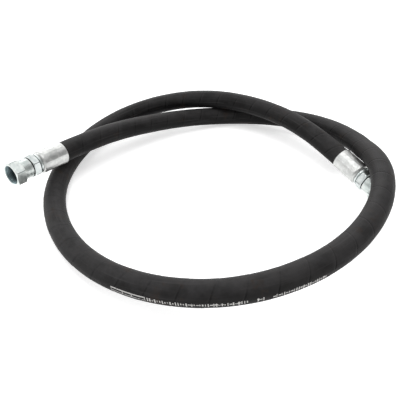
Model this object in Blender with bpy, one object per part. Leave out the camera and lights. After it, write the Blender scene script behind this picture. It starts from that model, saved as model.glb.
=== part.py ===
# Hydraulic hose assembly: a two metre length of spiral-wire hose, laid in an
# over-and-under loop, with a crimped swivel-female fitting on each end.
# Metres, +Z up.  The loop lies on the plane z = 0 and the origin is the middle
# of the assembly's own box, on that plane.
import math

import bmesh
import bpy
import numpy as np
from mathutils import Matrix, Vector

MM = 0.001

# ---- hose laminate: outer and bore radius of each layer --------------------
HOSE_LAYERS = [
    ("cover", 15.35 * MM, 13.95 * MM, "rubber"),
    ("wire_ply_4", 13.65 * MM, 13.20 * MM, "wire"),
    ("wire_ply_3", 12.90 * MM, 12.45 * MM, "wire"),
    ("wire_ply_2", 12.15 * MM, 11.70 * MM, "wire"),
    ("wire_ply_1", 11.40 * MM, 10.95 * MM, "wire"),
    ("inner_tube", 10.65 * MM, 9.50 * MM, "liner"),
]
HOSE_BEVEL = 3                 # bevel resolution, ten sides
HOSE_TILT = math.radians(18.0)  # puts a corner of the ten at the very bottom
STEP_OPEN = 58 * MM            # station spacing on the open part of the loop
STEP_CLOSE = 29 * MM           # spacing where the hose lies over the right fitting
CLOSE_FROM = 0.44              # arc length where the close spacing starts
CLOSE_TO = 0.73                # and where it ends
HOSE_IN_FERRULE = 39.5 * MM    # cut end of the hose, inside the ferrule
COVER_IN_FERRULE = 8.2 * MM    # the cover is skived off beyond this depth

# ---- where the hose lies: from the left ferrule to the right ferrule --------
ROUTE_MM = [
    (-228, 37.6, 49.15), (-171, 100, 44), (-112, 155, 32), (-40, 197, 22),
    (32, 215, 17), (119, 200, 22), (191, 148, 33), (224, 73, 46.5),
    (232, 2, 57.5), (207, -89, 59.5), (157, -155, 54), (87, -203, 50),
    (11, -223, 44), (-73, -211, 34), (-145, -170, 24), (-200, -106, 17),
    (-230, -30, 16), (-231, 56, 17), (-203, 131, 23), (-147, 192, 32),
    (-67, 223, 42), (12, 218, 48), (89, 180, 49), (147, 122, 46),
    (195.8, 53, 33.2),
]
LEFT_AIM = (-0.596, -0.799, 0.084)     # axis of the left fitting, hose to mouth
RIGHT_AIM = (0.518, -0.830, -0.170)    # axis of the right fitting, hose to mouth
FRAME_SHIFT = (18.34 * MM, -0.45 * MM, -0.64 * MM)   # origin to the box's bottom middle

# ---- fitting: distances run along its axis from the hose/ferrule junction ---
FERRULE_START = 3.5 * MM
FERRULE_RADIUS = 16.6 * MM
FERRULE_BELL = 8.6 * MM        # depth of the bell mouth that takes the cover
FERRULE_LIP_START = 42.4 * MM
FERRULE_END = 45.6 * MM
STEM_TAIL = 4.0 * MM
STEM_TAIL_RADIUS = 8.55 * MM
STEM_BORE = 7.0 * MM
NECK_START = 46.0 * MM
NECK_END = 48.6 * MM
NECK_RADIUS = 14.6 * MM
BODY_HEX_START = 50.2 * MM
BODY_HEX_END = 60.3 * MM
BODY_HEX_FLATS = 30.0 * MM
NUT_START = 61.3 * MM
NUT_COLLAR_RADIUS = 14.3 * MM
NUT_HEX_START = 74.8 * MM
NUT_FACE = 89.3 * MM
NUT_FLATS = 32.0 * MM
NUT_THREAD_RADIUS = 12.8 * MM
SHANK_RADIUS = 10.4 * MM
SHANK_HOLE = 10.95 * MM
HEAD_RADIUS = 12.25 * MM
HEAD_FACE = 74.0 * MM
SEAT_MOUTH = 11.7 * MM         # wide end of the 37 degree seat
WIRE_POSITION = 64.6 * MM
WIRE_RING_RADIUS = 10.75 * MM
WIRE_RADIUS = 0.85 * MM
GROOVE_HALF = 1.25 * MM        # half the width of the retaining wire's groove
CHAMFER_RISE = math.tan(math.radians(60.0))   # hex corners are turned at 30 degrees
SEGMENTS = 24
SHARP_ANGLE = math.radians(30.0)

# turn of each hexagon about its axis: a corner's angle from straight up
LEFT_BODY_TURN = math.radians(6.3)
LEFT_NUT_TURN = math.radians(-2.7)
RIGHT_BODY_TURN = math.radians(30.0)
RIGHT_NUT_TURN = math.radians(30.0)


def clear_scene():
    for item in list(bpy.data.objects):
        bpy.data.objects.remove(item, do_unlink=True)


def make_material(name, colour, metallic, roughness):
    material = bpy.data.materials.new(name)
    material.use_nodes = True
    shader = material.node_tree.nodes["Principled BSDF"]
    shader.inputs["Base Color"].default_value = (*colour, 1.0)
    shader.inputs["Metallic"].default_value = metallic
    shader.inputs["Roughness"].default_value = roughness
    return material


def unit(vector):
    vector = np.array(vector, dtype=float)
    return vector / np.linalg.norm(vector)


def clamped_spline(points, start_way, end_way):
    """Cubic curve through the points, leaving and arriving along the two ways."""
    points = np.array(points, dtype=float)
    count = len(points)
    knots = np.concatenate([[0.0], np.cumsum(np.linalg.norm(np.diff(points, axis=0), axis=1))])
    step = np.diff(knots)
    system = np.zeros((count, count))
    right = np.zeros((count, 3))
    system[0, 0] = 1.0
    system[-1, -1] = 1.0
    right[0] = start_way
    right[-1] = end_way
    for i in range(1, count - 1):
        system[i, i - 1] = step[i]
        system[i, i] = 2.0 * (step[i - 1] + step[i])
        system[i, i + 1] = step[i - 1]
        before = (points[i] - points[i - 1]) * step[i] / step[i - 1]
        after = (points[i + 1] - points[i]) * step[i - 1] / step[i]
        right[i] = 3.0 * (before + after)
    slopes = np.linalg.solve(system, right)

    def at(value):
        i = int(np.clip(np.searchsorted(knots, value) - 1, 0, count - 2))
        h = step[i]
        t = (value - knots[i]) / h
        return ((1 + 2 * t) * (1 - t) ** 2 * points[i] + t * (1 - t) ** 2 * h * slopes[i]
                + t * t * (3 - 2 * t) * points[i + 1] + t * t * (t - 1) * h * slopes[i + 1])

    return at, knots[-1]


def hose_stations():
    """Centre points of the laid hose from one junction to the other."""
    points = np.array(ROUTE_MM) * MM + np.array(FRAME_SHIFT)
    at, total = clamped_spline(points, -unit(LEFT_AIM), unit(RIGHT_AIM))
    fine = np.array([at(v) for v in np.linspace(0.0, total, 3001)])
    arc = np.concatenate([[0.0], np.cumsum(np.linalg.norm(np.diff(fine, axis=0), axis=1))])
    length = arc[-1]
    stops = []
    for start, end, spacing in ((0.0, CLOSE_FROM, STEP_OPEN), (CLOSE_FROM, CLOSE_TO, STEP_CLOSE),
                                (CLOSE_TO, length, STEP_OPEN)):
        steps = int(round((end - start) / spacing))
        stops += [start + (end - start) * i / steps for i in range(steps)]
    stops.append(length)
    return np.column_stack([np.interp(stops, arc, fine[:, k]) for k in range(3)])


def tube_layer(name, path, outer, inner, material):
    """Open tube along the path, thickened inward to its bore."""
    curve = bpy.data.curves.new(name, "CURVE")
    curve.dimensions = "3D"
    curve.twist_mode = "Z_UP"
    curve.bevel_depth = outer
    curve.bevel_resolution = HOSE_BEVEL
    curve.use_fill_caps = False
    spline = curve.splines.new("POLY")
    spline.points.add(len(path) - 1)
    for point, place in zip(spline.points, path):
        point.co = (*place, 1.0)
        point.tilt = HOSE_TILT
    curve.materials.append(material)
    tube = bpy.data.objects.new(name, curve)
    bpy.context.collection.objects.link(tube)
    wall = tube.modifiers.new("wall", "SOLIDIFY")
    wall.thickness = outer - inner
    wall.offset = -1.0
    wall.use_even_offset = True
    return tube


def fitting_rotation(aim, turn):
    """Local Z along the fitting's axis, local X turned from straight up."""
    way = unit(aim)
    up = unit(np.array((0.0, 0.0, 1.0)) - way[2] * way)
    side = np.cross(way, up)
    base = Matrix((up, side, way)).transposed().to_4x4()
    return base @ Matrix.Rotation(turn, 4, "Z")


def hex_radius(angle, flats):
    """Distance to a hexagon's side when a corner sits at angle zero."""
    folded = (angle % (math.pi / 3.0)) - math.pi / 6.0
    return flats / 2.0 / math.cos(folded)


def turned_body(name, junction, aim, profile, material, turn=0.0, hexagon=None):
    """Spin a closed (distance, radius) profile about the fitting's axis.

    A hexagon (start, end, flats) trims the turned blank between two distances.
    """
    middle = 0.5 * (min(row[0] for row in profile) + max(row[0] for row in profile))
    mesh = bpy.data.meshes.new(name)
    blank = bmesh.new()
    ring = [blank.verts.new((radius, 0.0, distance - middle)) for distance, radius in profile]
    edges = [blank.edges.new((ring[i - 1], ring[i])) for i in range(len(ring))]
    bmesh.ops.spin(blank, geom=ring + edges, axis=(0.0, 0.0, 1.0), cent=(0.0, 0.0, 0.0),
                   angle=2.0 * math.pi, steps=SEGMENTS, use_merge=True)
    if hexagon:
        start, end, flats = hexagon
        for vert in blank.verts:
            reach = math.hypot(vert.co.x, vert.co.y)
            if start <= vert.co.z + middle <= end and reach > flats / 2.0:
                limit = hex_radius(math.atan2(vert.co.y, vert.co.x), flats)
                if reach > limit:
                    vert.co.x *= limit / reach
                    vert.co.y *= limit / reach
    bmesh.ops.recalc_face_normals(blank, faces=blank.faces)
    blank.to_mesh(mesh)
    blank.free()
    mesh.materials.append(material)
    mesh.shade_smooth()
    mesh.set_sharp_from_angle(angle=SHARP_ANGLE)
    part = bpy.data.objects.new(name, mesh)
    part.matrix_world = (Matrix.Translation(junction + middle * Vector(unit(aim)))
                         @ fitting_rotation(aim, turn))
    bpy.context.collection.objects.link(part)
    return part


def hex_rows(start, end, flats, rounded):
    """Outer rows of a hexagon with both ends turned down to the round size."""
    corner = flats / math.sqrt(3.0)
    rise = (corner - rounded) / CHAMFER_RISE
    half = 0.5 * (corner + rounded)
    return [
        (start, rounded),
        (start + rise / 2.0, half),
        (start + rise, corner),
        (end - rise, corner),
        (end - rise / 2.0, half),
        (end, rounded),
    ]


def ferrule_profile():
    return [
        (FERRULE_START, FERRULE_RADIUS - 0.4 * MM),
        (FERRULE_START + 0.5 * MM, FERRULE_RADIUS),
        (FERRULE_LIP_START, FERRULE_RADIUS),
        (FERRULE_LIP_START + 1.9 * MM, FERRULE_RADIUS - 1.0 * MM),
        (FERRULE_END, FERRULE_RADIUS - 3.2 * MM),
        (FERRULE_END, 10.6 * MM),
        (FERRULE_LIP_START, 10.6 * MM),
        (FERRULE_LIP_START, 13.98 * MM),
        (FERRULE_BELL + 1.0 * MM, 13.98 * MM),
        (FERRULE_BELL, 15.75 * MM),
        (FERRULE_START, 15.75 * MM),
    ]


def stem_profile():
    seat_depth = (SEAT_MOUTH - STEM_BORE) / math.tan(math.radians(37.0))
    barb = STEM_TAIL_RADIUS - 0.5 * MM
    rows = [
        (STEM_TAIL, STEM_BORE),
        (STEM_TAIL, barb),
        (STEM_TAIL + 1.2 * MM, STEM_TAIL_RADIUS),
        (17.0 * MM, STEM_TAIL_RADIUS),
        (17.5 * MM, barb),
        (19.0 * MM, STEM_TAIL_RADIUS),
        (30.0 * MM, STEM_TAIL_RADIUS),
        (30.5 * MM, barb),
        (32.0 * MM, STEM_TAIL_RADIUS),
        (40.6 * MM, STEM_TAIL_RADIUS),
        (40.6 * MM, 11.5 * MM),
        (42.0 * MM, 11.5 * MM),
        (42.0 * MM, 10.2 * MM),
        (NECK_START, 10.2 * MM),
        (NECK_START, NECK_RADIUS),
        (NECK_END, NECK_RADIUS),
        (NECK_END + 0.4 * MM, 12.6 * MM),
        (BODY_HEX_START, 12.6 * MM),
    ]
    rows += hex_rows(BODY_HEX_START, BODY_HEX_END, BODY_HEX_FLATS, 14.5 * MM)
    rows += [
        (BODY_HEX_END, SHANK_RADIUS),
        (WIRE_POSITION - GROOVE_HALF, SHANK_RADIUS),
        (WIRE_POSITION - GROOVE_HALF, 9.5 * MM),
        (WIRE_POSITION + GROOVE_HALF, 9.5 * MM),
        (WIRE_POSITION + GROOVE_HALF, SHANK_RADIUS),
        (67.6 * MM, SHANK_RADIUS),
        (69.3 * MM, HEAD_RADIUS),
        (HEAD_FACE, HEAD_RADIUS),
        (HEAD_FACE, SEAT_MOUTH),
        (HEAD_FACE - seat_depth, STEM_BORE),
    ]
    return rows


def nut_profile():
    rows = [
        (NUT_START, SHANK_HOLE),
        (NUT_START, NUT_COLLAR_RADIUS - 0.6 * MM),
        (NUT_START + 0.6 * MM, NUT_COLLAR_RADIUS),
        (NUT_HEX_START, NUT_COLLAR_RADIUS),
    ]
    rows += hex_rows(NUT_HEX_START, NUT_FACE, NUT_FLATS, 15.5 * MM)
    rows += [
        (NUT_FACE, NUT_THREAD_RADIUS + 1.1 * MM),
        (NUT_FACE - 1.4 * MM, NUT_THREAD_RADIUS),
        (69.0 * MM, NUT_THREAD_RADIUS),
        (67.1 * MM, SHANK_HOLE),
        (WIRE_POSITION + GROOVE_HALF, SHANK_HOLE),
        (WIRE_POSITION + GROOVE_HALF, 12.0 * MM),
        (WIRE_POSITION - GROOVE_HALF, 12.0 * MM),
        (WIRE_POSITION - GROOVE_HALF, SHANK_HOLE),
    ]
    return rows


def wire_profile():
    sides = 6
    return [
        (WIRE_POSITION + WIRE_RADIUS * math.sin(2.0 * math.pi * k / sides),
         WIRE_RING_RADIUS + WIRE_RADIUS * math.cos(2.0 * math.pi * k / sides))
        for k in range(sides)
    ]


def build_hose(materials):
    centres = hose_stations()
    left = unit(LEFT_AIM)
    right = unit(RIGHT_AIM)
    for name, outer, inner, material in HOSE_LAYERS:
        depth = COVER_IN_FERRULE if name == "cover" else HOSE_IN_FERRULE
        path = np.vstack([centres[0] + depth * left, centres, centres[-1] + depth * right])
        tube_layer(name, path, outer, inner, materials[material])


def build_fitting(side_name, junction, aim, body_turn, nut_turn, materials):
    body_hex = (BODY_HEX_START, BODY_HEX_END, BODY_HEX_FLATS)
    nut_hex = (NUT_HEX_START, NUT_FACE, NUT_FLATS)
    turned_body("ferrule_" + side_name, junction, aim, ferrule_profile(), materials["ferrule"])
    turned_body("stem_" + side_name, junction, aim, stem_profile(), materials["stem"],
                body_turn, body_hex)
    turned_body("nut_" + side_name, junction, aim, nut_profile(), materials["nut"],
                nut_turn, nut_hex)
    turned_body("nut_wire_" + side_name, junction, aim, wire_profile(), materials["ring"])


def main():
    clear_scene()
    materials = {
        "rubber": make_material("cover_rubber", (0.02, 0.02, 0.022), 0.0, 0.7),
        "liner": make_material("liner_rubber", (0.03, 0.028, 0.026), 0.0, 0.6),
        "wire": make_material("wire_steel", (0.55, 0.5, 0.4), 1.0, 0.4),
        "ferrule": make_material("ferrule_zinc", (0.72, 0.73, 0.74), 1.0, 0.35),
        "stem": make_material("stem_zinc", (0.75, 0.78, 0.8), 1.0, 0.3),
        "nut": make_material("nut_zinc", (0.75, 0.79, 0.81), 1.0, 0.3),
        "ring": make_material("ring_steel", (0.5, 0.5, 0.5), 1.0, 0.4),
    }
    build_hose(materials)
    route = np.array(ROUTE_MM) * MM + np.array(FRAME_SHIFT)
    build_fitting("left", Vector(route[0]), LEFT_AIM, LEFT_BODY_TURN, LEFT_NUT_TURN, materials)
    build_fitting("right", Vector(route[-1]), RIGHT_AIM, RIGHT_BODY_TURN, RIGHT_NUT_TURN,
                  materials)


main()
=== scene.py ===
import math

import bmesh
import bpy
import numpy as np
from mathutils import Matrix, Vector


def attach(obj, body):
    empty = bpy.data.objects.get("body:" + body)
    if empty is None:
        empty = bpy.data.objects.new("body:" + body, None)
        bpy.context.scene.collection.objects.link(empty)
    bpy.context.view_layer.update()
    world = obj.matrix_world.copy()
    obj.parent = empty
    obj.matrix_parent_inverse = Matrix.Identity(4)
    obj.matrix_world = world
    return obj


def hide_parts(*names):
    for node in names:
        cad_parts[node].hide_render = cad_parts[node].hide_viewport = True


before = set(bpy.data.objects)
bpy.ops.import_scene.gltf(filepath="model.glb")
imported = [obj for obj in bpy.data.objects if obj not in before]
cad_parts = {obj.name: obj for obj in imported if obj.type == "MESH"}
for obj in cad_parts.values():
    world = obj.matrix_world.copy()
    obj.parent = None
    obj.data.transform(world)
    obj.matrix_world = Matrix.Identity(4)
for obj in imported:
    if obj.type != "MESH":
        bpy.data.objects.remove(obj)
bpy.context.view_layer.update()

MM = 0.001

# ---------------------------------------------------------------- dimensions
# hose route, left ferrule to right ferrule, in the CAD's own frame
ROUTE_MM = [
    (-228, 37.6, 49.15), (-171, 100, 44), (-112, 155, 32), (-40, 197, 22),
    (32, 215, 17), (119, 200, 22), (191, 148, 33), (224, 73, 46.5),
    (232, 2, 57.5), (207, -89, 59.5), (157, -155, 54), (87, -203, 50),
    (11, -223, 44), (-73, -211, 34), (-145, -170, 24), (-200, -106, 17),
    (-230, -30, 16), (-231, 56, 17), (-203, 131, 23), (-147, 192, 32),
    (-67, 223, 42), (12, 218, 48), (89, 180, 49), (147, 122, 46),
    (195.8, 53, 33.2),
]
FRAME_SHIFT_MM = (18.34, -0.45, -0.64)
LEFT_AIM = (-0.596, -0.799, 0.084)
RIGHT_AIM = (0.518, -0.830, -0.170)

HOSE_RADIUS = 15.35 * MM
COVER_BORE = 13.95 * MM
COVER_IN_FERRULE = 8.2 * MM
LAYER_IN_FERRULE = 39.5 * MM
LAYERS = [
    ("wire_ply_4", 13.65 * MM, 13.20 * MM),
    ("wire_ply_3", 12.90 * MM, 12.45 * MM),
    ("wire_ply_2", 12.15 * MM, 11.70 * MM),
    ("wire_ply_1", 11.40 * MM, 10.95 * MM),
    ("inner_tube", 10.65 * MM, 9.50 * MM),
]
WRAP_PITCH = 34.0 * MM         # lead of the curing tape's imprint
WRAP_STEP = 0.22 * MM          # height of the lap it leaves
# rows of the cover's mesh within one turn of the wrap, close together at the lap
LAP_PHASES = np.array((0.0, 0.02, 0.05, 0.12, 0.22, 0.33, 0.44, 0.55, 0.66, 0.77, 0.87, 0.94, 0.98))
HOSE_SIDES = 72
WEAVE_ROUND = 96.0             # threads of the curing tape round the hose
WEAVE_PITCH = 0.9 * MM
LAYER_STEP = 10.0 * MM      # row spacing of the hidden layers
WIRE_STRANDS = 50.0            # wires side by side in one ply
STRAND_SLANT = 600.0           # strands crossed in each metre along the hose

# camera, in the CAD's own frame
CAMERA_PLACE = Vector((-3.46, -523.65, 409.86)) * MM
CAMERA_PITCH = math.radians(38.93)
CAMERA_ROLL = math.radians(0.346)
CAMERA_FOCAL_PX = 440.0
IMAGE_PX = 400.0


# ---------------------------------------------------------------- the route
def unit(vector):
    vector = np.array(vector, dtype=float)
    return vector / np.linalg.norm(vector)


def clamped_spline(points, start_way, end_way):
    points = np.array(points, dtype=float)
    count = len(points)
    knots = np.concatenate([[0.0], np.cumsum(np.linalg.norm(np.diff(points, axis=0), axis=1))])
    step = np.diff(knots)
    system = np.zeros((count, count))
    right = np.zeros((count, 3))
    system[0, 0] = 1.0
    system[-1, -1] = 1.0
    right[0] = start_way
    right[-1] = end_way
    for i in range(1, count - 1):
        system[i, i - 1] = step[i]
        system[i, i] = 2.0 * (step[i - 1] + step[i])
        system[i, i + 1] = step[i - 1]
        before = (points[i] - points[i - 1]) * step[i] / step[i - 1]
        after = (points[i + 1] - points[i]) * step[i - 1] / step[i]
        right[i] = 3.0 * (before + after)
    slopes = np.linalg.solve(system, right)

    def at(values):
        values = np.asarray(values, dtype=float)
        i = np.clip(np.searchsorted(knots, values) - 1, 0, count - 2)
        h = step[i][:, None]
        t = ((values - knots[i]) / step[i])[:, None]
        return ((1 + 2 * t) * (1 - t) ** 2 * points[i] + t * (1 - t) ** 2 * h * slopes[i]
                + t * t * (3 - 2 * t) * points[i + 1] + t * t * (t - 1) * h * slopes[i + 1])

    return at, knots[-1]


ROUTE = (np.array(ROUTE_MM) + np.array(FRAME_SHIFT_MM)) * MM
LEFT_WAY = unit(LEFT_AIM)
RIGHT_WAY = unit(RIGHT_AIM)
curve_at, curve_span = clamped_spline(ROUTE, -LEFT_WAY, RIGHT_WAY)
FINE = curve_at(np.linspace(0.0, curve_span, 8001))
FINE_ARC = np.concatenate([[0.0], np.cumsum(np.linalg.norm(np.diff(FINE, axis=0), axis=1))])
FREE_LENGTH = float(FINE_ARC[-1])


# the hose leans in by under a millimetre where it passes beside the right ferrule
LEAN_ARC = 613.0 * MM
LEAN_SPAN = 15.0 * MM
LEAN_BY = 0.75 * MM * unit((-0.63, -0.24, -0.74))


def centre_at(arc):
    """Centreline points at these arc lengths; straight on past either junction."""
    arc = np.asarray(arc, dtype=float)
    inside = np.clip(arc, 0.0, FREE_LENGTH)
    place = np.stack([np.interp(inside, FINE_ARC, FINE[:, k]) for k in range(3)], axis=-1)
    place = place + np.exp(-((arc - LEAN_ARC) / LEAN_SPAN) ** 2)[..., None] * LEAN_BY
    place = place + np.minimum(arc, 0.0)[..., None] * -LEFT_WAY
    return place + np.maximum(arc - FREE_LENGTH, 0.0)[..., None] * RIGHT_WAY


def tube_points(arc, angle, radius):
    """Points on a tube round the route; angle 0 is the top of the hose."""
    reach = 1.0 * MM
    centre = centre_at(arc)
    way = centre_at(arc + reach) - centre_at(arc - reach)
    way /= np.linalg.norm(way, axis=-1, keepdims=True)
    up = np.array((0.0, 0.0, 1.0)) - way[..., 2:3] * way
    up /= np.linalg.norm(up, axis=-1, keepdims=True)
    side = np.cross(way, up)
    return centre + radius[..., None] * (np.cos(angle)[..., None] * up
                                         + np.sin(angle)[..., None] * side)


# ---------------------------------------------------------------- camera
def make_camera():
    data = bpy.data.cameras.new("view")
    data.sensor_width = 36.0
    data.sensor_fit = "HORIZONTAL"
    data.lens = 36.0 * CAMERA_FOCAL_PX / IMAGE_PX
    data.clip_start = 0.01
    data.clip_end = 50.0
    camera = bpy.data.objects.new("view", data)
    bpy.context.scene.collection.objects.link(camera)
    camera.matrix_world = (Matrix.Translation(CAMERA_PLACE)
                           @ Matrix.Rotation(math.pi / 2.0 - CAMERA_PITCH, 4, "X")
                           @ Matrix.Rotation(CAMERA_ROLL, 4, "Z"))
    bpy.context.scene.camera = camera


make_camera()


# ---------------------------------------------------------------- materials
class Nodes:
    """A little helper for building one node material."""

    def __init__(self, name):
        self.material = bpy.data.materials.new(name)
        self.material.use_nodes = True
        self.tree = self.material.node_tree
        self.tree.nodes.clear()
        self.out = self.tree.nodes.new("ShaderNodeOutputMaterial")
        self.shader = self.tree.nodes.new("ShaderNodeBsdfPrincipled")
        self.link(self.shader.outputs[0], self.out.inputs[0])

    def link(self, a, b):
        self.tree.links.new(a, b)

    def put(self, socket, value):
        if isinstance(value, bpy.types.NodeSocket):
            self.link(value, socket)
        else:
            socket.default_value = value

    def node(self, kind, **settings):
        made = self.tree.nodes.new(kind)
        for key, value in settings.items():
            setattr(made, key, value)
        return made

    def set(self, **values):
        for key, value in values.items():
            self.put(self.shader.inputs[key.replace("_", " ")], value)

    def coords(self, kind="Object"):
        return self.node("ShaderNodeTexCoord").outputs[kind]

    def split(self, vector):
        made = self.node("ShaderNodeSeparateXYZ")
        self.link(vector, made.inputs[0])
        return made.outputs

    def join(self, x, y, z):
        made = self.node("ShaderNodeCombineXYZ")
        for socket, value in zip(made.inputs, (x, y, z)):
            self.put(socket, value)
        return made.outputs[0]

    def math(self, operation, a, b=None, c=None):
        made = self.node("ShaderNodeMath", operation=operation)
        for socket, value in zip(made.inputs, (a, b, c)):
            if value is not None:
                self.put(socket, value)
        return made.outputs[0]

    def ramp(self, value, low, high, start=0.0, end=1.0):
        made = self.node("ShaderNodeMapRange", interpolation_type="SMOOTHSTEP")
        for index, item in enumerate((value, low, high, start, end)):
            self.put(made.inputs[index], item)
        return made.outputs[0]

    def scaled(self, vector, scale):
        made = self.node("ShaderNodeMapping")
        self.link(vector, made.inputs[0])
        made.inputs["Scale"].default_value = scale
        return made.outputs[0]

    def noise(self, vector, scale, detail=4.0, rough=0.55, warp=0.0):
        made = self.node("ShaderNodeTexNoise")
        self.link(vector, made.inputs["Vector"])
        made.inputs["Scale"].default_value = scale
        made.inputs["Detail"].default_value = detail
        made.inputs["Roughness"].default_value = rough
        made.inputs["Distortion"].default_value = warp
        return made.outputs["Fac"]

    def mix(self, factor, a, b):
        made = self.node("ShaderNodeMix", data_type="RGBA")
        for socket, value in zip((made.inputs[0], made.inputs[6], made.inputs[7]), (factor, a, b)):
            self.put(socket, value)
        return made.outputs[2]

    def bump(self, height, distance, strength=1.0, under=None):
        made = self.node("ShaderNodeBump")
        made.inputs["Strength"].default_value = strength
        made.inputs["Distance"].default_value = distance
        self.link(height, made.inputs["Height"])
        if under is not None:
            self.link(under, made.inputs["Normal"])
        return made.outputs[0]


def rgb(r, g, b):
    return (r, g, b, 1.0)


# the white line of print: an outlined bar, then a run of plain ticks
PRINT_FROM = 1.134             # distance along the hose where the bar begins
PRINT_BAR = 0.042
PRINT_RUN = 0.232              # ticks end this far after the bar's start
PRINT_TURN = 1.0 - 89.0 / 360.0
PRINT_HALF = 2.9 * MM
TICK_PITCH = 2.7 * MM


def print_mask(n, across, along, wear):
    """White ink: an outlined bar with three fields, then ticks of mixed widths."""
    past = n.math("SUBTRACT", PRINT_FROM, along)
    slope = n.math("MULTIPLY", n.math("MINIMUM", past, 0.09), -0.19)
    offset = n.math("SUBTRACT", across, n.math("ADD", PRINT_TURN, slope))
    high = n.math("MULTIPLY", offset, 2.0 * math.pi * HOSE_RADIUS)
    reach = n.math("ABSOLUTE", high)

    def within(value, low, top, edge=0.2 * MM):
        rise = n.ramp(value, low - edge, low + edge)
        fall = n.ramp(value, top + edge, top - edge)
        return n.math("MULTIPLY", rise, fall)

    bar = within(past, 0.0, PRINT_BAR)
    rim = n.math("MAXIMUM", within(high, PRINT_HALF - 1.6 * MM, PRINT_HALF),
                 within(high, -PRINT_HALF, -PRINT_HALF + 0.9 * MM))
    inside = n.math("LESS_THAN", reach, PRINT_HALF)
    posts = within(past, 0.0, 0.8 * MM)
    for place in (0.0145, 0.0255, PRINT_BAR - 1.2 * MM):
        posts = n.math("MAXIMUM", posts, within(past, place, place + 0.8 * MM))
    frame_ink = n.math("MULTIPLY", bar, n.math("MAXIMUM", rim, n.math("MULTIPLY", posts, inside)))
    # ticks: each cell draws its own width, gap and height
    cell = n.math("DIVIDE", past, TICK_PITCH)
    number = n.math("FLOOR", cell)
    spot = n.math("FRACT", cell)
    draw = n.node("ShaderNodeTexWhiteNoise", noise_dimensions="1D")
    n.link(number, draw.inputs["W"])
    lots = n.split(draw.outputs["Color"])
    stroke = n.math("LESS_THAN", n.math("ABSOLUTE", n.math("SUBTRACT", spot, 0.42)),
                    n.math("MULTIPLY_ADD", lots[0], 0.16, 0.16))
    middle = n.math("LESS_THAN", n.math("ABSOLUTE", n.math("SUBTRACT", high,
                                                           n.math("MULTIPLY", lots[1], 1.4 * MM))),
                    n.math("MULTIPLY_ADD", lots[2], 1.4 * MM, 0.5 * MM))
    solid = n.math("GREATER_THAN", lots[1], 0.45)
    tick = n.math("MULTIPLY", stroke, n.math("MAXIMUM", solid, middle))
    joined = n.math("MULTIPLY", middle, n.math("LESS_THAN", lots[2], 0.35))
    tick = n.math("MULTIPLY", n.math("MAXIMUM", tick, joined),
                  n.math("LESS_THAN", reach, PRINT_HALF - 0.2 * MM))
    word = n.node("ShaderNodeTexWhiteNoise", noise_dimensions="1D")
    n.link(n.math("FLOOR", n.math("DIVIDE", number, 3.0)), word.inputs["W"])
    kept = n.math("GREATER_THAN", word.outputs["Value"], 0.04)
    run = within(past, PRINT_BAR + 1.2 * MM, PRINT_RUN)
    ticks = n.math("MULTIPLY", n.math("MULTIPLY", tick, kept), run)
    ink = n.math("MAXIMUM", frame_ink, ticks)
    return n.math("MULTIPLY", ink, wear)


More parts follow.
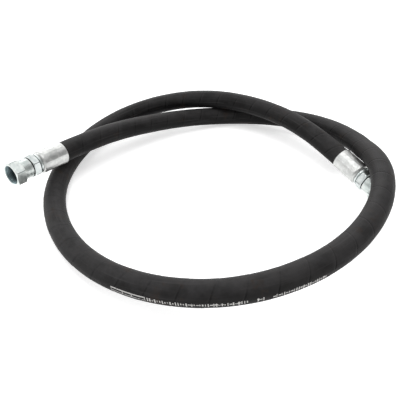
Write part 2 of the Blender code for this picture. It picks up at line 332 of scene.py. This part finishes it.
def cover_material():
    n = Nodes("cover_wrapped_rubber")
    across, along, _ = n.split(n.coords("UV"))
    solid = n.coords("Object")
    large = n.noise(solid, 9.0, 3.0)
    medium = n.noise(solid, 55.0, 5.0, 0.6)
    fine = n.noise(solid, 900.0, 4.0, 0.65)
    # place within one turn of the wrap
    phase = n.math("FRACT", n.math("ADD", n.math("DIVIDE", along, WRAP_PITCH), across))
    lap_shade_line = n.math("MULTIPLY", n.ramp(phase, 0.925, 0.955), n.ramp(phase, 1.0, 0.985))
    lap_lip_highlight = n.ramp(phase, 0.09, 0.0)
    # weave of the curing tape, pressed into the rubber
    warp = n.math("SINE", n.math("MULTIPLY", across, 2.0 * math.pi * WEAVE_ROUND))
    weft = n.math("SINE", n.math("MULTIPLY", along, 2.0 * math.pi / WEAVE_PITCH))
    weave = n.math("MULTIPLY", warp, weft)
    base = n.mix(n.ramp(medium, 0.3, 0.75),
                 rgb(0.0072, 0.0068, 0.0068), rgb(0.0185, 0.0178, 0.0182))
    base = n.mix(n.math("MULTIPLY", n.ramp(large, 0.52, 0.72), 0.6), base,
                 rgb(0.017, 0.0145, 0.013))
    dust = n.math("MULTIPLY", n.ramp(fine, 0.56, 0.8), n.ramp(medium, 0.45, 0.7))
    base = n.mix(n.math("MULTIPLY", dust, 0.5), base, rgb(0.035, 0.033, 0.032))
    turn = n.node("ShaderNodeTexWhiteNoise", noise_dimensions="1D")
    n.link(n.math("FLOOR", n.math("ADD", n.math("DIVIDE", along, WRAP_PITCH), across)),
           turn.inputs["W"])
    base = n.mix(n.math("MULTIPLY", turn.outputs["Value"], 0.3), base, rgb(0.018, 0.0175, 0.018))
    # painted shade: a dark line in the groove of each lap
    base = n.mix(n.math("MULTIPLY", lap_shade_line, 0.9), base, rgb(0.0015, 0.0015, 0.0015))
    # painted highlight: a lighter band on the lip just past each lap
    base = n.mix(n.math("MULTIPLY", lap_lip_highlight, 0.25), base, rgb(0.030, 0.029, 0.030))
    top = n.split(n.node("ShaderNodeNewGeometry").outputs["Normal"])[2]
    # dust, and painted top light: faces turned upward are lighter
    settled_dust_and_top_light = n.math("MULTIPLY", n.ramp(top, 0.1, 0.95), n.ramp(large, 0.42, 0.66))
    base = n.mix(n.math("MULTIPLY", settled_dust_and_top_light, 0.45), base, rgb(0.030, 0.0285, 0.0285))
    # painted top light, with dust: the hose's crown is lighter still
    crown_dust_and_top_light = n.math("MULTIPLY", n.ramp(top, 0.30, 1.05), n.ramp(medium, 0.3, 0.7, 0.35, 1.0))
    base = n.mix(n.math("MULTIPLY", crown_dust_and_top_light, 0.5), base, rgb(0.056, 0.054, 0.055))
    # painted shade: the underside and lower flanks are darkened
    base = n.mix(n.ramp(top, 0.5, -0.2, 0.0, 0.75), base, rgb(0.0022, 0.0022, 0.0024))
    streaks = n.noise(n.join(n.math("MULTIPLY", across, 26.0), n.math("MULTIPLY", along, 9.0), 0.0),
                      1.0, 4.0, 0.6)
    base = n.mix(n.math("MULTIPLY", n.ramp(streaks, 0.5, 0.76), 0.6), base,
                 rgb(0.046, 0.044, 0.045))
    brown = n.ramp(n.noise(solid, 38.0, 4.0, 0.65), 0.56, 0.74)
    base = n.mix(n.math("MULTIPLY", brown, 0.5), base, rgb(0.034, 0.021, 0.014))
    wear = n.ramp(n.noise(solid, 420.0, 3.0), 0.3, 0.5, 0.35, 0.95)
    base = n.mix(print_mask(n, across, along, wear), base, rgb(0.60, 0.59, 0.575))
    n.set(Base_Color=base)
    n.set(Roughness=n.ramp(medium, 0.2, 0.8, 0.5, 0.68))
    n.shader.inputs["Specular IOR Level"].default_value = 0.12
    height = n.math("ADD", n.math("MULTIPLY", weave, 0.25), n.math("MULTIPLY", fine, 0.6))
    first = n.bump(height, 0.00012, 0.8)
    second = n.bump(medium, 0.0006, 0.35, first)
    step = n.math("SUBTRACT", n.ramp(phase, 0.2, 0.0), n.ramp(phase, 0.93, 1.0))
    n.set(Normal=n.bump(step, 0.0005, 0.3, second))
    n.shader.inputs["Sheen Weight"].default_value = 0.04
    n.shader.inputs["Sheen Roughness"].default_value = 0.35
    n.shader.inputs["Sheen Tint"].default_value = rgb(1.0, 0.95, 0.95)
    return n.material


DARK_EDGE_SPAN = (0.040, 0.012)        # half width of the painted dark reflection along an edge, in sixths of a turn


def zinc_material(name, light, dark, rough_low, rough_high, ring_pitch, ring_depth,
                  bore=0.0, gap=(0.0, 0.0), corner=0.0):
    """Zinc-plated steel: turning marks round the axis, faint cloudy passivation.

    Inside the radius `bore` the colour is darkened to a painted shade, deepest in
    the thread and down the stem's bore; painted shade darkens the narrow gap between these two
    distances along the axis, and a painted dark reflection lines the hexagon's edges, which stand
    at `corner`."""
    n = Nodes(name)
    place = n.coords("Object")
    x, y, z = n.split(place)
    cloud = n.noise(place, 130.0, 4.0, 0.6, 0.4)
    speck = n.noise(place, 1500.0, 3.0, 0.6)
    streak = n.noise(n.scaled(place, (60.0, 60.0, 2600.0)), 1.0, 3.0, 0.6)
    base = n.mix(n.ramp(cloud, 0.3, 0.72), dark, light)
    base = n.mix(n.math("MULTIPLY", n.ramp(speck, 0.62, 0.78), 0.35), base, rgb(0.45, 0.46, 0.46))
    if bore > 0.0:
        radius = n.math("SQRT", n.math("ADD", n.math("MULTIPLY", x, x), n.math("MULTIPLY", y, y)))
        inside = n.ramp(radius, bore + 0.15 * MM, bore - 0.25 * MM)
        # painted shade: the bore's inner wall is tinted dark teal
        base = n.mix(n.math("MULTIPLY", inside, 0.8), base, rgb(0.095, 0.165, 0.19))
        # painted shade: darker in the thread's inner half and down the stem's bore
        deep = n.math("MULTIPLY", n.ramp(z, DEEP_SHADE_SPAN[0] * MM, DEEP_SHADE_SPAN[1] * MM),
                      n.ramp(z, (HEAD_FACE + 0.1) * MM, (HEAD_FACE + 0.6) * MM))
        hollow = n.ramp(radius, STEM_BORE * MM + 0.5 * MM, STEM_BORE * MM + 0.2 * MM)
        deep_painted_shade = n.math("MAXIMUM", n.math("MULTIPLY", deep, inside), hollow)
        base = n.mix(n.math("MULTIPLY", deep_painted_shade, 0.85), base, rgb(0.010, 0.016, 0.019))
        # painted shade: the narrow gap between the nut and the body hex is darkened
        gap_painted_shade = n.math("MULTIPLY", n.ramp(z, gap[0] - 0.1 * MM, gap[0] + 0.1 * MM),
                       n.ramp(z, gap[1] + 0.1 * MM, gap[1] - 0.1 * MM))
        base = n.mix(gap_painted_shade, base, rgb(0.012, 0.013, 0.015))
        # painted dark reflection: a dark line along each hexagon edge
        sector = n.math("MULTIPLY", n.math("ARCTAN2", y, x), 3.0 / math.pi)
        sixth = n.math("FRACT", n.math("ADD", sector, 3.5))
        turned = n.math("ABSOLUTE", n.math("SUBTRACT", sixth, 0.5))
        edge_painted_reflection = n.math("MULTIPLY", n.ramp(turned, *DARK_EDGE_SPAN),
                        n.ramp(radius, corner - 1.0 * MM, corner - 0.5 * MM))
        base = n.mix(n.math("MULTIPLY", edge_painted_reflection, 0.85), base, rgb(0.10, 0.12, 0.12))
    n.set(Base_Color=base)
    n.shader.inputs["Metallic"].default_value = 0.93
    rough = n.math("ADD", n.ramp(cloud, 0.25, 0.75, rough_low, rough_high),
                   n.math("MULTIPLY", streak, 0.06))
    n.set(Roughness=rough)
    ring = n.math("SINE", n.math("MULTIPLY", z, 2.0 * math.pi / ring_pitch))
    height = n.math("ADD", n.math("MULTIPLY", ring, 0.5), n.math("MULTIPLY", streak, 0.9))
    first = n.bump(height, ring_depth, 0.6)
    n.set(Normal=n.bump(cloud, 0.0002, 0.1, first))
    return n.material


def wire_material():
    n = Nodes("spiral_wire_steel")
    across, along, _ = n.split(n.coords("UV"))
    phase = n.math("ADD", n.math("MULTIPLY", across, WIRE_STRANDS),
                   n.math("MULTIPLY", along, STRAND_SLANT))
    round_wire = n.math("ABSOLUTE", n.math("SINE", n.math("MULTIPLY", phase, math.pi)))
    grain = n.noise(n.coords("Object"), 400.0, 3.0)
    n.set(Base_Color=n.mix(n.ramp(grain, 0.35, 0.7), rgb(0.42, 0.31, 0.16), rgb(0.62, 0.5, 0.3)))
    n.shader.inputs["Metallic"].default_value = 1.0
    n.set(Roughness=n.ramp(grain, 0.3, 0.7, 0.25, 0.4))
    n.set(Normal=n.bump(round_wire, 0.0004, 0.9))
    return n.material


def liner_material():
    n = Nodes("liner_rubber_smooth")
    place = n.coords("Object")
    tone = n.noise(place, 70.0, 4.0)
    fine = n.noise(place, 1200.0, 3.0)
    n.set(Base_Color=n.mix(tone, rgb(0.012, 0.011, 0.011), rgb(0.028, 0.026, 0.025)))
    n.set(Roughness=n.ramp(tone, 0.3, 0.7, 0.35, 0.55))
    n.set(Normal=n.bump(fine, 0.0001, 0.5))
    return n.material


# ---------------------------------------------------------------- hose meshes
def link_object(name, mesh, material, smooth=True):
    mesh.materials.append(material)
    if smooth:
        mesh.shade_smooth()
    made = bpy.data.objects.new(name, mesh)
    bpy.context.scene.collection.objects.link(made)
    return made


def grid_mesh(name, rings_outer, rings_inner, uv_outer, uv_inner, sides):
    """Closed tube wall from two stacks of rings, (rows, sides, 3) each, open at no end."""
    rows = len(rings_outer)
    verts = np.concatenate([rings_outer.reshape(-1, 3), rings_inner.reshape(-1, 3)])
    faces = []
    uvs = []
    back = rows * sides

    def quad(a, b, c, d, ua, ub, uc, ud):
        faces.append((a, b, c, d))
        uvs.extend((ua, ub, uc, ud))

    for i in range(rows - 1):
        for j in range(sides):
            k = (j + 1) % sides
            wrap = 1.0 if k == 0 else 0.0
            a, b = i * sides + j, i * sides + k
            c, d = (i + 1) * sides + k, (i + 1) * sides + j
            ua, ub = uv_outer[i, j], uv_outer[i, k] + (wrap, 0.0)
            uc, ud = uv_outer[i + 1, k] + (wrap, 0.0), uv_outer[i + 1, j]
            quad(a, b, c, d, ua, ub, uc, ud)
            ua, ub = uv_inner[i, j], uv_inner[i, k] + (wrap, 0.0)
            uc, ud = uv_inner[i + 1, k] + (wrap, 0.0), uv_inner[i + 1, j]
            quad(back + d, back + c, back + b, back + a, ud, uc, ub, ua)
    for i, flip in ((0, True), (rows - 1, False)):
        for j in range(sides):
            k = (j + 1) % sides
            a, b = i * sides + j, i * sides + k
            order = (a, b, back + b, back + a)
            spot = uv_outer[i, j]
            if flip:
                order = order[::-1]
            quad(*order, spot, spot, spot, spot)
    mesh = bpy.data.meshes.new(name)
    mesh.from_pydata([tuple(v) for v in verts], [], faces)
    layer = mesh.uv_layers.new(name="lay")
    layer.data.foreach_set("uv", np.array(uvs, dtype=np.float32).ravel())
    mesh.validate()
    return mesh


def smooth_layer(name, outer, inner, material):
    count = int(round((FREE_LENGTH + 2.0 * LAYER_IN_FERRULE) / LAYER_STEP))
    arc = np.linspace(-LAYER_IN_FERRULE, FREE_LENGTH + LAYER_IN_FERRULE, count)
    sides = 32
    angle = 2.0 * math.pi * np.arange(sides) / sides
    arc_grid, angle_grid = np.meshgrid(arc, angle, indexing="ij")
    uv = np.stack([angle_grid / (2.0 * math.pi), arc_grid], axis=-1)
    rings_outer = tube_points(arc_grid, angle_grid, np.full(arc_grid.shape, outer))
    rings_inner = tube_points(arc_grid, angle_grid, np.full(arc_grid.shape, inner))
    mesh = grid_mesh(name, rings_outer, rings_inner, uv, uv, sides)
    made = link_object(name, mesh, material)
    mesh.set_sharp_from_angle(angle=math.radians(40.0))
    return made


def cover_grid():
    """Places on the cover, in rows along the wrap's helix, its lap standing as a low step."""
    start = -COVER_IN_FERRULE
    end = FREE_LENGTH + COVER_IN_FERRULE
    low_turn = int(math.floor(start / WRAP_PITCH)) - 2
    high_turn = int(math.ceil(end / WRAP_PITCH)) + 1
    rows = []
    for turn in range(low_turn, high_turn):
        rows.extend((turn + LAP_PHASES).tolist())
    rows = np.array(rows)
    turn = np.arange(HOSE_SIDES) / HOSE_SIDES
    row_grid, turn_grid = np.meshgrid(rows, turn, indexing="ij")
    angle_grid = -2.0 * math.pi * turn_grid
    arc = (row_grid + turn_grid) * WRAP_PITCH
    phase = row_grid % 1.0
    lift = np.interp(phase, (0.0, 0.02, 0.05, 0.5, 0.94, 0.98, 1.0),
                     (-0.5, 0.35, 0.5, 0.15, -0.1, -0.35, -0.5)) * WRAP_STEP
    # slight unevenness from turn to turn
    sway = 0.10 * MM * np.sin(row_grid * 2.4 + 0.7) * np.cos(angle_grid * 2.0 + row_grid * 0.9)
    radius = HOSE_RADIUS - 0.05 * MM + lift + sway
    clamped = np.clip(arc, start, end)
    outer = tube_points(clamped, angle_grid, radius)
    return clamped, outer


def make_cover(material):
    start = -COVER_IN_FERRULE
    end = FREE_LENGTH + COVER_IN_FERRULE
    clamped, outer = cover_grid()
    rows, sides = clamped.shape
    mesh = bpy.data.meshes.new("hose_cover")
    work = bmesh.new()
    uv_layer = work.loops.layers.uv.new("lay")
    verts = [[None] * sides for _ in range(rows)]
    for i in range(rows):
        for j in range(sides):
            verts[i][j] = work.verts.new(outer[i, j])

    def grid_corner(i, j):
        """Grid corner, carried one turn on where the helix closes on itself."""
        if j == sides:
            return i + len(LAP_PHASES), 0
        return i, j

    for i in range(rows - 1):
        for j in range(sides):
            spots = [(i, j), (i, j + 1), (i + 1, j + 1), (i + 1, j)]
            real = [grid_corner(*s) for s in spots]
            if any(r[0] >= rows for r in real):
                continue
            arcs = [clamped[r[0], r[1]] for r in real]
            if min(arcs) >= end or max(arcs) <= start:
                continue
            corners = [verts[r[0]][r[1]] for r in real]
            face = work.faces.new(corners)
            for loop, spot, value in zip(face.loops, spots, arcs):
                loop[uv_layer].uv = (1.0 - spot[1] / sides, value)
    loose = [v for v in work.verts if not v.link_faces]
    bmesh.ops.delete(work, geom=loose, context="VERTS")
    bmesh.ops.remove_doubles(work, verts=work.verts, dist=1e-6)
    bmesh.ops.dissolve_degenerate(work, edges=work.edges, dist=1e-6)
    # bore wall and the two cut ends
    bore_arc = np.linspace(start, end, 260)
    arc_grid, round_grid = np.meshgrid(bore_arc, 2.0 * math.pi * np.arange(sides) / sides,
                                       indexing="ij")
    bore = tube_points(arc_grid, round_grid, np.full(arc_grid.shape, COVER_BORE))
    inner = [[work.verts.new(bore[i, j]) for j in range(sides)] for i in range(len(bore_arc))]
    for i in range(len(bore_arc) - 1):
        for j in range(sides):
            k = (j + 1) % sides
            face = work.faces.new((inner[i + 1][j], inner[i + 1][k], inner[i][k], inner[i][j]))
            for loop in face.loops:
                loop[uv_layer].uv = (j / sides, bore_arc[i])
    rims = [e for e in work.edges if len(e.link_faces) == 1]
    for far in (False, True):
        middle = Vector(centre_at(np.array([end if far else start]))[0])
        near = [e for e in rims if (e.verts[0].co - middle).length < 0.03]
        bmesh.ops.bridge_loops(work, edges=near)
    bmesh.ops.recalc_face_normals(work, faces=work.faces)
    work.to_mesh(mesh)
    work.free()
    made = link_object("hose_cover", mesh, material)
    mesh.set_sharp_from_angle(angle=math.radians(50.0))
    return made


cover_look = cover_material()
cover = make_cover(cover_look)
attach(cover, "hose")
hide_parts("cover")

wire_look = wire_material()
liner_look = liner_material()
for layer_name, layer_outer, layer_inner in LAYERS:
    look = liner_look if layer_name == "inner_tube" else wire_look
    layer = smooth_layer("hose_" + layer_name, layer_outer, layer_inner, look)
    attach(layer, "hose")
    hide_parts(layer_name)


# ---------------------------------------------------------------- fittings
# distances run along the fitting's axis from the hose/ferrule junction
FERRULE_START = 3.5
FERRULE_END = 45.6
FERRULE_RADIUS = 16.6
CRIMP_JAWS = 8
CRIMP_DEPTH = 0.34
CRIMP_TURN = math.radians(-73.0)
STEM_BORE = 7.0
NECK_START = 46.0
NECK_END = 48.6
NECK_RADIUS = 14.6
BODY_HEX = (50.2, 60.3, 30.0, 14.5)
NUT_START = 61.3
NUT_HEX = (74.8, 89.3, 32.0, 15.6)
NUT_FACE = 89.3
COLLAR_RADIUS = 14.3
THREAD_MINOR = 12.8
THREAD_DEPTH = 0.62
THREAD_PITCH = 2.117
THREAD_END = 70.2              # the thread's inner end
THREAD_STEPS = 8               # rows of the mesh in each turn of the thread
COLLAR_RINGS = (63.2, 65.6, 68.0, 70.4, 72.6)
COLLAR_CUT = 0.4
DEEP_SHADE_SPAN = (86.5, 79.0)        # painted shade darkens the thread between these two
SHANK_RADIUS = 10.4
SHANK_HOLE = 10.95
HEAD_RADIUS = 12.25
HEAD_FACE = 74.0
SEAT_MOUTH = 11.7
WIRE_PLACE = 64.6
GROOVE_HALF = 1.25
CHAMFER_RISE = math.tan(math.radians(60.0))

TURNS = {
    "left": (math.radians(6.3), math.radians(-2.7)),
    "right": (math.radians(30.0), math.radians(30.0)),
}


def hex_angles(inner=13):
    """Angles round a hexagon, with a close pair either side of each corner."""
    near = math.radians(0.75)
    span = math.pi / 3.0
    one = np.concatenate([[-near, near], np.linspace(near, span - near, inner + 2)[1:-1]])
    return np.concatenate([one + k * span for k in range(6)]) + 0.0


def hex_reach(angles, flats):
    folded = (angles % (math.pi / 3.0)) - math.pi / 6.0
    reach = flats / 2.0 / np.cos(folded)
    return np.minimum(reach, flats / math.sqrt(3.0) - 0.13)


class Profile:
    """Closed outline of a turned piece: each row holds one (z, r) pair for every angle."""

    def __init__(self, angles):
        self.angles = angles
        self.rows = []

    def add(self, z, r, soft=0.0):
        z = np.broadcast_to(np.asarray(z, float), self.angles.shape).copy()
        r = np.broadcast_to(np.asarray(r, float), self.angles.shape).copy()
        self.rows.append((np.stack([z, r], axis=-1), soft))

    def hexagon(self, start, end, flats, rounded, soft=0.18):
        """Both ends turned at 30 degrees: each row follows the true chamfer curve."""
        reach = hex_reach(self.angles, flats)
        rise = np.maximum(reach - rounded, 0.0) / CHAMFER_RISE
        self.add(start, rounded, soft)
        self.add(start + rise, reach, soft)
        self.add(end - rise, reach, soft)
        self.add(end, rounded, soft)

    def softened(self):
        """Rows with every marked corner eased by a short curve."""
        rows = self.rows
        count = len(rows)
        out = []
        for i, (here, soft) in enumerate(rows):
            if soft <= 0.0:
                out.append(here)
                continue
            before = rows[i - 1][0] - here
            after = rows[(i + 1) % count][0] - here
            long_before = np.linalg.norm(before, axis=-1, keepdims=True)
            long_after = np.linalg.norm(after, axis=-1, keepdims=True)
            cut_before = np.minimum(soft, 0.42 * long_before)
            cut_after = np.minimum(soft, 0.42 * long_after)
            first = here + before / np.maximum(long_before, 1e-9) * cut_before
            last = here + after / np.maximum(long_after, 1e-9) * cut_after
            out.extend([first, 0.25 * first + 0.5 * here + 0.25 * last, last])
        return np.array(out)


def axis_matrix(side):
    aim = LEFT_WAY if side == "left" else RIGHT_WAY
    junction = ROUTE[0] if side == "left" else ROUTE[-1]
    up = unit(np.array((0.0, 0.0, 1.0)) - aim[2] * aim)
    across = np.cross(aim, up)
    base = Matrix((up, across, aim)).transposed().to_4x4()
    return Matrix.Translation(Vector(junction)) @ base


def turned_piece(name, profile, side, turn, material, sharp=42.0):
    rows = profile.softened() * MM
    angles = profile.angles
    count, sides = rows.shape[:2]
    x = rows[..., 1] * np.cos(angles)
    y = rows[..., 1] * np.sin(angles)
    verts = np.stack([x, y, rows[..., 0]], axis=-1).reshape(-1, 3)
    faces = []
    for i in range(count):
        n = (i + 1) % count
        for j in range(sides):
            k = (j + 1) % sides
            faces.append((i * sides + j, i * sides + k, n * sides + k, n * sides + j))
    mesh = bpy.data.meshes.new(name)
    mesh.from_pydata([tuple(v) for v in verts], [], faces)
    work = bmesh.new()
    work.from_mesh(mesh)
    bmesh.ops.remove_doubles(work, verts=work.verts, dist=2e-6)
    bmesh.ops.dissolve_degenerate(work, edges=work.edges, dist=1e-6)
    bmesh.ops.recalc_face_normals(work, faces=work.faces)
    work.to_mesh(mesh)
    work.free()
    made = link_object(name, mesh, material)
    mesh.set_sharp_from_angle(angle=math.radians(sharp))
    weighted = made.modifiers.new("shade", "WEIGHTED_NORMAL")
    weighted.keep_sharp = True
    weighted.weight = 60
    made.matrix_world = axis_matrix(side) @ Matrix.Rotation(turn, 4, "Z")
    return made


def ferrule_profile():
    step = 2.0 * math.pi / CRIMP_JAWS
    local = np.radians((-9.0, -5.0, -3.0, -2.0, -1.2, -0.5, 0.5, 1.2, 2.0, 3.0, 5.0, 9.0, 14.0,
                        18.0, 22.5, 27.0, 31.0))
    angles = np.sort((np.concatenate([local + k * step for k in range(CRIMP_JAWS)])
                      + CRIMP_TURN) % (2.0 * math.pi))
    folded = (angles - CRIMP_TURN + step / 2.0) % step - step / 2.0
    ridge = np.exp(-(folded / math.radians(1.7)) ** 2)
    dish = 0.10 * (1.0 - np.abs(folded) / (step / 2.0))
    land = FERRULE_RADIUS - CRIMP_DEPTH + dish + (CRIMP_DEPTH - 0.08) * ridge
    p = Profile(angles)
    p.add(FERRULE_START, 15.75, 0.15)
    p.add(FERRULE_START, FERRULE_RADIUS, 0.45)
    p.add(4.6, FERRULE_RADIUS)
    p.add(5.4, 0.5 * FERRULE_RADIUS + 0.5 * land)
    p.add(6.4, land)
    for z in np.linspace(9.0, 36.0, 10):
        p.add(z, land)
    p.add(38.4, land)
    p.add(39.6, 0.5 * FERRULE_RADIUS + 0.5 * land)
    p.add(40.6, FERRULE_RADIUS - 0.05)
    p.add(42.4, FERRULE_RADIUS - 0.1, 0.5)
    p.add(43.9, FERRULE_RADIUS - 0.9, 0.4)
    p.add(45.0, FERRULE_RADIUS - 2.2, 0.4)
    p.add(FERRULE_END, FERRULE_RADIUS - 3.4, 0.2)
    p.add(FERRULE_END, 10.6)
    p.add(42.4, 10.6)
    p.add(42.4, 13.98)
    p.add(9.6, 13.98)
    p.add(8.6, 15.75)
    return p


def stem_profile():
    p = Profile(hex_angles(9))
    barb = 8.05
    for z, r in ((4.0, STEM_BORE), (4.0, barb), (5.2, 8.55), (17.0, 8.55), (17.5, barb),
                 (19.0, 8.55), (30.0, 8.55), (30.5, barb), (32.0, 8.55), (40.6, 8.55),
                 (40.6, 11.5), (42.0, 11.5), (42.0, 10.2), (NECK_START, 10.2)):
        p.add(z, r)
    p.add(NECK_START, NECK_RADIUS, 0.35)
    p.add(NECK_END, NECK_RADIUS, 0.35)
    p.add(NECK_END + 0.4, 12.6, 0.1)
    p.add(BODY_HEX[0], 12.6, 0.1)
    p.hexagon(*BODY_HEX)
    p.add(BODY_HEX[1], SHANK_RADIUS, 0.1)
    p.add(WIRE_PLACE - GROOVE_HALF, SHANK_RADIUS)
    p.add(WIRE_PLACE - GROOVE_HALF, 9.5)
    p.add(WIRE_PLACE + GROOVE_HALF, 9.5)
    p.add(WIRE_PLACE + GROOVE_HALF, SHANK_RADIUS)
    p.add(67.6, SHANK_RADIUS)
    p.add(69.3, HEAD_RADIUS)
    p.add(HEAD_FACE, HEAD_RADIUS, 0.2)
    p.add(HEAD_FACE, SEAT_MOUTH, 0.15)
    p.add(HEAD_FACE - (SEAT_MOUTH - STEM_BORE) / math.tan(math.radians(37.0)), STEM_BORE, 0.15)
    return p


def nut_profile():
    p = Profile(hex_angles(11))
    p.add(NUT_START, SHANK_HOLE)
    p.add(NUT_START, COLLAR_RADIUS, 0.45)
    # fine turned rings on the collar
    for z in COLLAR_RINGS:
        p.add(z, COLLAR_RADIUS)
        p.add(z + 0.3, COLLAR_RADIUS - COLLAR_CUT, 0.05)
        p.add(z + 0.8, COLLAR_RADIUS - COLLAR_CUT, 0.05)
        p.add(z + 1.1, COLLAR_RADIUS)
    p.add(NUT_HEX[0], COLLAR_RADIUS, 0.1)
    p.hexagon(*NUT_HEX)
    p.add(NUT_FACE, THREAD_MINOR + 1.1, 0.15)
    p.add(NUT_FACE - 0.9, THREAD_MINOR + 0.45)
    for z in np.arange(NUT_FACE - 1.1, THREAD_END, -THREAD_PITCH / THREAD_STEPS):
        fade = min(1.0, (z - THREAD_END) / 1.5, (NUT_FACE - z) / 1.2)
        turn = (z / THREAD_PITCH - p.angles / (2.0 * math.pi)) % 1.0
        tooth = np.clip(1.5 * (1.0 - np.abs(2.0 * turn - 1.0)) - 0.2, 0.0, 1.0)
        p.add(z, THREAD_MINOR + THREAD_DEPTH * tooth * fade)
    p.add(69.0, THREAD_MINOR)
    p.add(67.1, SHANK_HOLE)
    p.add(WIRE_PLACE + GROOVE_HALF, SHANK_HOLE)
    p.add(WIRE_PLACE + GROOVE_HALF, 12.0)
    p.add(WIRE_PLACE - GROOVE_HALF, 12.0)
    p.add(WIRE_PLACE - GROOVE_HALF, SHANK_HOLE)
    return p


ferrule_look = zinc_material("ferrule_satin_zinc", rgb(0.71, 0.715, 0.70), rgb(0.50, 0.51, 0.50),
                             0.32, 0.40, 0.00021, 0.00004)
stem_look = zinc_material("stem_bright_zinc", rgb(0.735, 0.765, 0.755), rgb(0.55, 0.595, 0.59),
                          0.26, 0.36, 0.00024, 0.00003, bore=11.9 * MM, gap=(60.2 * MM, 63.4 * MM),
                          corner=BODY_HEX[2] / math.sqrt(3.0) * MM)
nut_look = zinc_material("nut_bright_zinc", rgb(0.735, 0.765, 0.745), rgb(0.54, 0.59, 0.575),
                         0.26, 0.38, 0.00024, 0.00003, bore=13.6 * MM, gap=(60.0 * MM, 61.7 * MM),
                         corner=NUT_HEX[2] / math.sqrt(3.0) * MM)

for side in ("left", "right"):
    body_turn, nut_turn = TURNS[side]
    pieces = (
        ("ferrule", ferrule_profile(), 0.0, ferrule_look, "hose", "ferrule_zinc"),
        ("stem", stem_profile(), body_turn, stem_look, "hose", "stem_zinc"),
        ("nut", nut_profile(), nut_turn, nut_look, side + "_nut", "nut_zinc"),
    )
    for kind, outline, turn, look, body, slot in pieces:
        piece = turned_piece(side + "_" + kind, outline, side, turn, look)
        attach(piece, body)
        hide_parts(kind + "_" + side)
    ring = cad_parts["nut_wire_" + side]
    for index in range(max(1, len(ring.material_slots))):
        if ring.material_slots:
            ring.material_slots[index].material = wire_look
        else:
            ring.data.materials.append(wire_look)


# ---------------------------------------------------------------- studio
def make_floor():
    n = Nodes("floor_white")
    grain = n.noise(n.coords("Object"), 3.0, 3.0)
    n.set(Base_Color=n.mix(grain, rgb(0.88, 0.88, 0.88), rgb(0.9, 0.9, 0.9)))
    n.shader.inputs["Roughness"].default_value = 0.9
    n.shader.inputs["Specular IOR Level"].default_value = 0.1
    n.shader.inputs["Emission Color"].default_value = rgb(1.0, 1.0, 1.0)
    n.shader.inputs["Emission Strength"].default_value = 0.55
    mesh = bpy.data.meshes.new("floor")
    work = bmesh.new()
    bmesh.ops.create_grid(work, x_segments=2, y_segments=2, size=8.0)
    work.to_mesh(mesh)
    work.free()
    floor = link_object("floor", mesh, n.material, smooth=False)
    floor.location.z = -0.0002


def area_light(name, place, target, size, power):
    data = bpy.data.lights.new(name, "AREA")
    data.shape = "RECTANGLE"
    data.size, data.size_y = size
    data.energy = power
    light = bpy.data.objects.new(name, data)
    bpy.context.scene.collection.objects.link(light)
    light.location = place
    way = Vector(target) - Vector(place)
    light.rotation_euler = way.to_track_quat("-Z", "Y").to_euler()


def room_light(world):
    """White room with a dim side on the right and behind the camera."""
    world.use_nodes = True
    tree = world.node_tree
    back = tree.nodes["Background"]
    way = tree.nodes.new("ShaderNodeTexCoord").outputs["Generated"]

    def lobe(azimuth, elevation, near, far, dim):
        a, e = math.radians(azimuth), math.radians(elevation)
        dot = tree.nodes.new("ShaderNodeVectorMath")
        dot.operation = "DOT_PRODUCT"
        tree.links.new(way, dot.inputs[0])
        dot.inputs[1].default_value = (math.sin(a) * math.cos(e), math.cos(a) * math.cos(e),
                                       math.sin(e))
        ramp = tree.nodes.new("ShaderNodeMapRange")
        ramp.interpolation_type = "SMOOTHSTEP"
        tree.links.new(dot.outputs["Value"], ramp.inputs[0])
        ramp.inputs[1].default_value = math.cos(math.radians(far))
        ramp.inputs[2].default_value = math.cos(math.radians(near))
        ramp.inputs[3].default_value = 1.0
        ramp.inputs[4].default_value = dim
        return ramp.outputs[0]

    product = tree.nodes.new("ShaderNodeMath")
    product.operation = "MULTIPLY"
    tree.links.new(lobe(103.0, 24.0, 6.0, 46.0, 0.2), product.inputs[0])
    tree.links.new(lobe(205.0, 0.0, 15.0, 80.0, 0.4), product.inputs[1])
    level = tree.nodes.new("ShaderNodeMath")
    level.operation = "MULTIPLY"
    level.inputs[1].default_value = 0.92
    tree.links.new(product.outputs[0], level.inputs[0])
    # the backdrop itself is plain and pale from every side
    seen = tree.nodes.new("ShaderNodeMath")
    seen.operation = "MAXIMUM"
    tree.links.new(level.outputs[0], seen.inputs[0])
    tree.links.new(tree.nodes.new("ShaderNodeLightPath").outputs["Is Camera Ray"], seen.inputs[1])
    tree.links.new(seen.outputs[0], back.inputs[1])
    back.inputs[0].default_value = (1.0, 1.0, 1.0, 1.0)


def make_studio():
    make_floor()
    world = bpy.data.worlds.new("studio")
    bpy.context.scene.world = world
    room_light(world)
    # name, place, aim, size, watts
    area_light("top_soft", (-0.1, -0.15, 1.7), (0.0, 0.0, 0.0), (0.9, 0.7), 7.0)
    area_light("left_soft", (-1.6, 0.3, 0.8), (0.0, 0.0, 0.0), (0.8, 0.8), 5.5)
    area_light("back_soft", (0.0, 1.9, 0.9), (0.0, 0.1, 0.0), (2.0, 0.7), 14.0)
    bpy.context.scene.view_settings.view_transform = "Standard"


make_studio()
